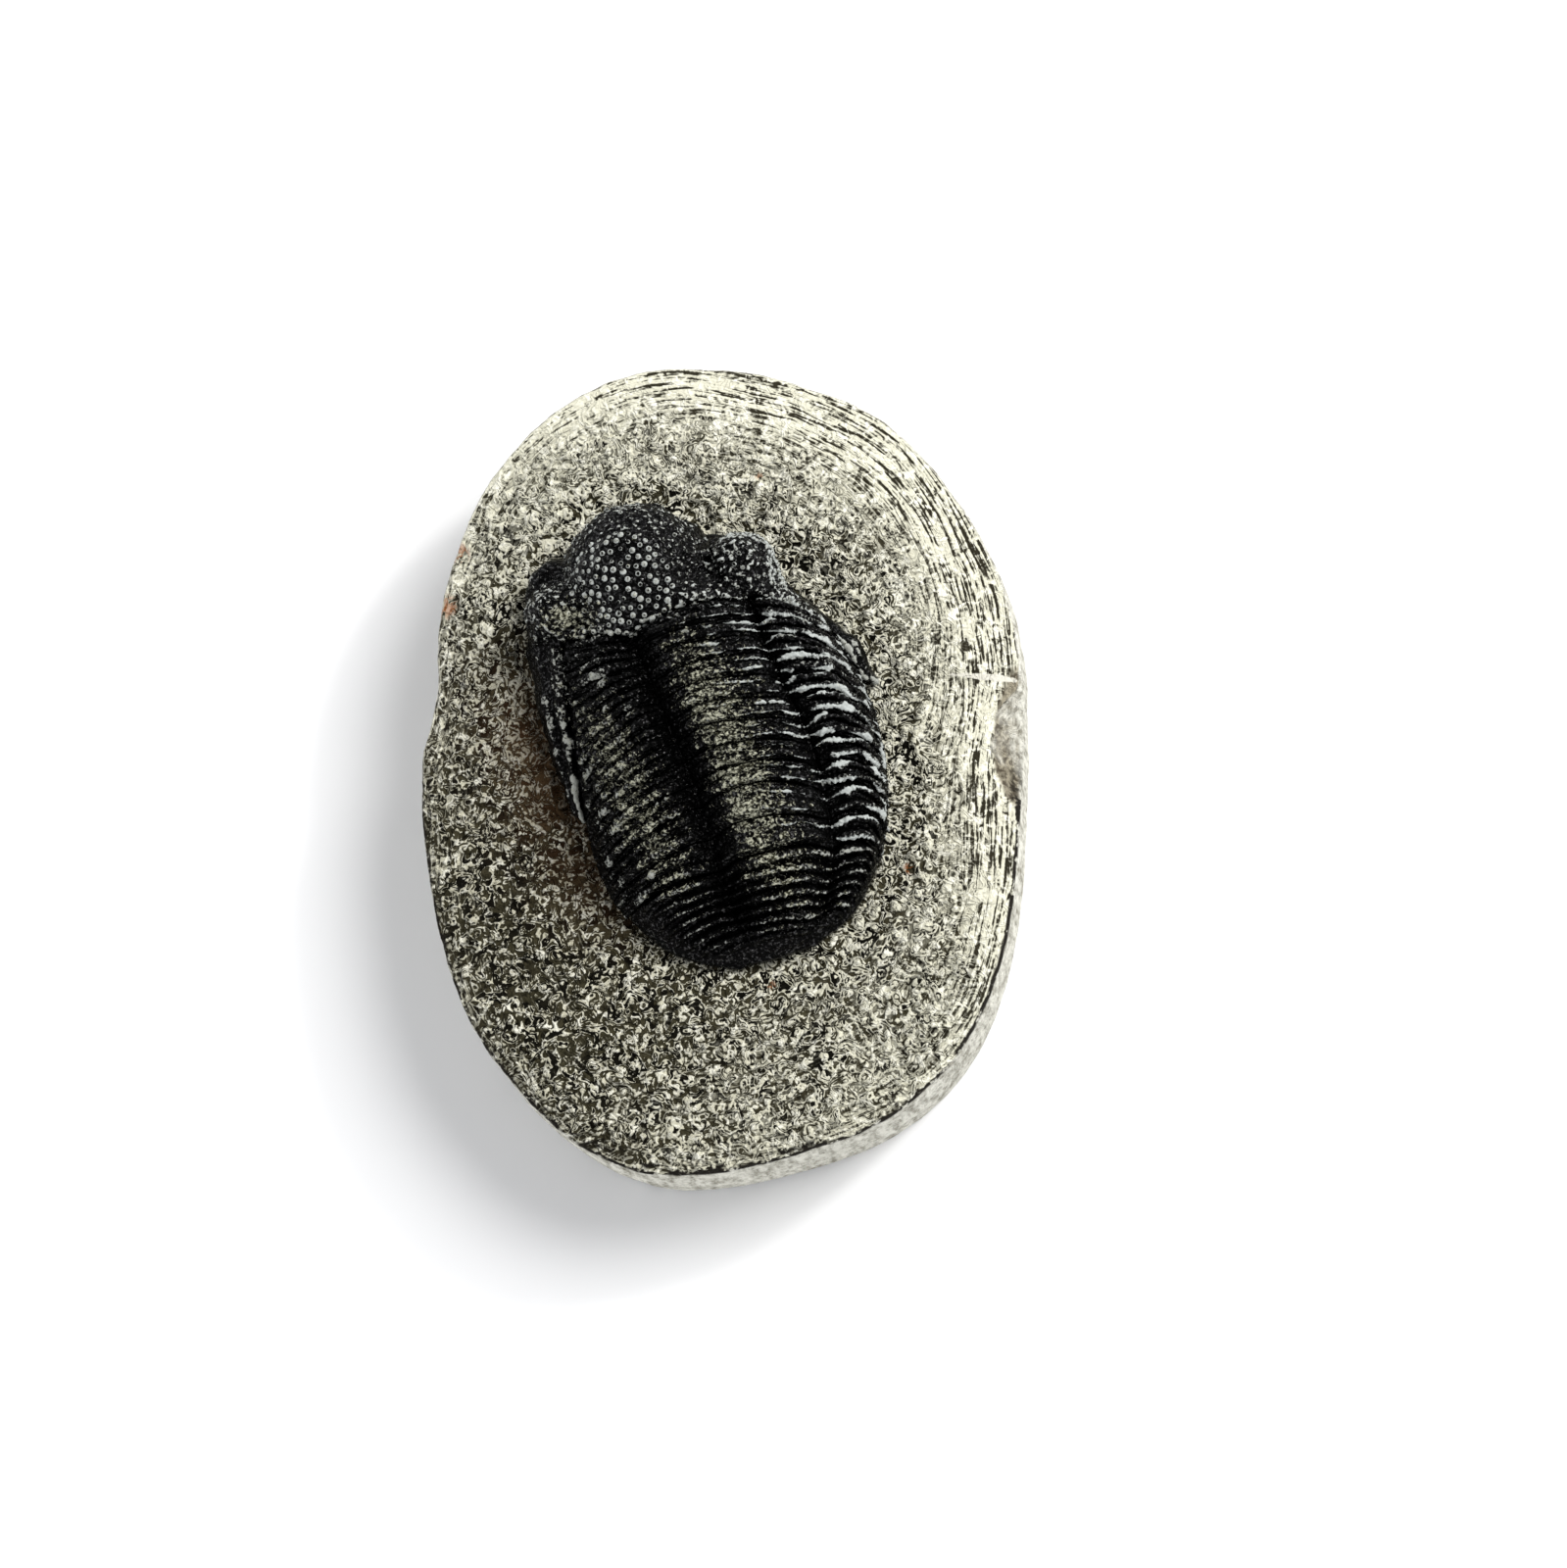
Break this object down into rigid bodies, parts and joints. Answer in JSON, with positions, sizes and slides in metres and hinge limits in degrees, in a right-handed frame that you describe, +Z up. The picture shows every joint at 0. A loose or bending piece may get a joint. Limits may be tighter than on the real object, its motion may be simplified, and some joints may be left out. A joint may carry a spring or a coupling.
{
  "type": "trilobite fossil",
  "caption": "Black phacopid trilobite, head, ringed thorax and tail, lying on an oval slab of ground grey-cream limestone.",
  "frame": {"origin": "middle of the slab's bounding box, on the flat underside", "axes": "+Z up from the flat underside through the fossil, +Y towards the animal's head along the slab's length, +X to the right seen from above with the head at the top"},
  "size_m": [0.0468, 0.0638, 0.0249],
  "materials": {
    "limestone": "matte",
    "black_shell": "satin"
  },
  "bodies": {
    "root": {"matrix_slab": "limestone", "cephalon": "black_shell", "thoracic_segment_01": "black_shell", "thoracic_segment_02": "black_shell", "thoracic_segment_03": "black_shell", "thoracic_segment_04": "black_shell", "thoracic_segment_05": "black_shell", "thoracic_segment_06": "black_shell", "thoracic_segment_07": "black_shell", "thoracic_segment_08": "black_shell", "thoracic_segment_09": "black_shell", "thoracic_segment_10": "black_shell", "thoracic_segment_11": "black_shell", "pygidium": "black_shell"}
  },
  "joints": []
}
